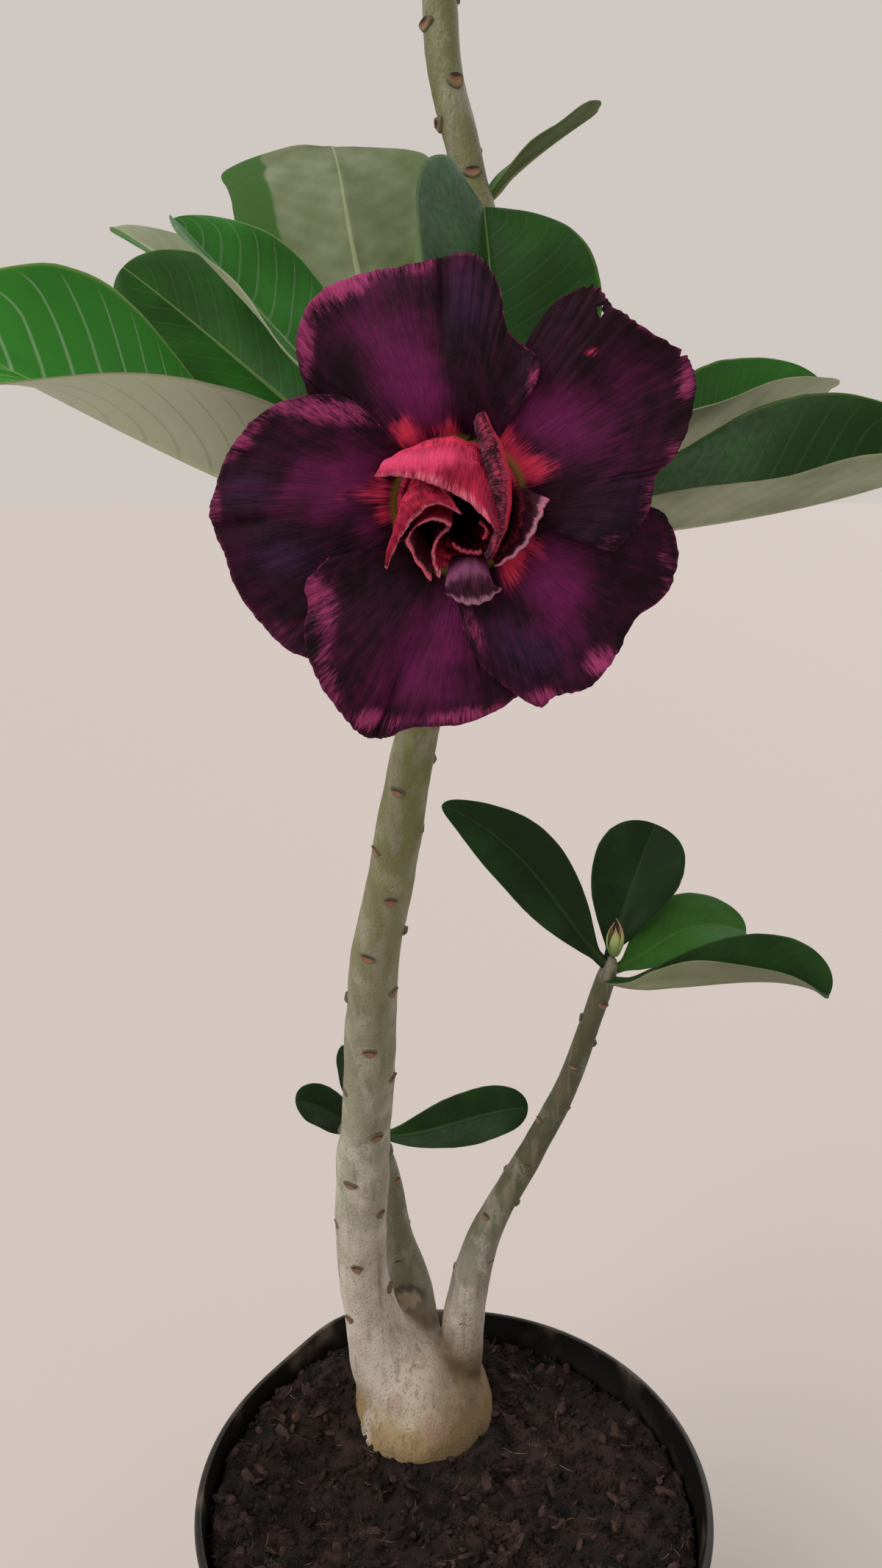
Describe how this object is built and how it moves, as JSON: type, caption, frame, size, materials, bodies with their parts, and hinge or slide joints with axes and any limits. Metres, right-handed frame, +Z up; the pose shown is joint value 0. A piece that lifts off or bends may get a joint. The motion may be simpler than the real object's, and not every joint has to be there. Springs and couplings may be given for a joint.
{
  "type": "potted desert rose adenium",
  "caption": "Potted desert rose with a swollen foot, leaning branched stems and glossy leaves round a dark layered bloom, in a round nursery pot.",
  "frame": {"origin": "centre of the underside of the pot's base", "axes": "+Z up the pot's axis, -Y towards the bloom's face, +X to the right of someone who faces the bloom"},
  "size_m": [0.2043, 0.1773, 0.5915],
  "materials": {
    "pot": "black moulded plastic, dull, a little dusty",
    "soil": "dark damp potting mix of bark and fibre",
    "bark": "smooth grey-green bark, pale and mottled towards the foot",
    "leaf": "glossy green upper side, matt grey-green underside",
    "shaded_leaf": "darker glossy green",
    "bud": "yellow-green with a pink tip",
    "calyx": "green, finely hairy",
    "outer_petals": "near-black maroon velvet with a magenta sheen and a red throat",
    "inner_petals": "crimson to mauve, thin pale rims"
  },
  "bodies": {
    "root": {"pot": "pot", "soil": "soil", "plant": "bark", "shoot_bud": "bud", "leaf_left_long": "leaf", "leaf_left_upper": "leaf", "leaf_left_back": "leaf", "leaf_left_hidden": "leaf", "leaf_top_left": "leaf", "leaf_top": "leaf", "leaf_right_upper": "leaf", "leaf_right_lower": "leaf", "leaf_edge_on": "leaf", "leaf_tip_1": "leaf", "leaf_tip_2": "leaf", "leaf_tip_3": "leaf", "leaf_tip_4": "leaf", "leaf_tip_5": "leaf", "leaf_tip_6": "leaf", "leaf_tip_7": "leaf", "leaf_side_a": "shaded_leaf", "leaf_side_b": "shaded_leaf", "leaf_side_c": "shaded_leaf", "leaf_side_d": "shaded_leaf", "leaf_middle_a": "shaded_leaf", "leaf_middle_b": "shaded_leaf", "leaf_middle_c": "shaded_leaf", "corolla_outer": "outer_petals", "corolla_second": "inner_petals", "corolla_third": "inner_petals", "calyx_stalk": "calyx"}
  },
  "joints": []
}
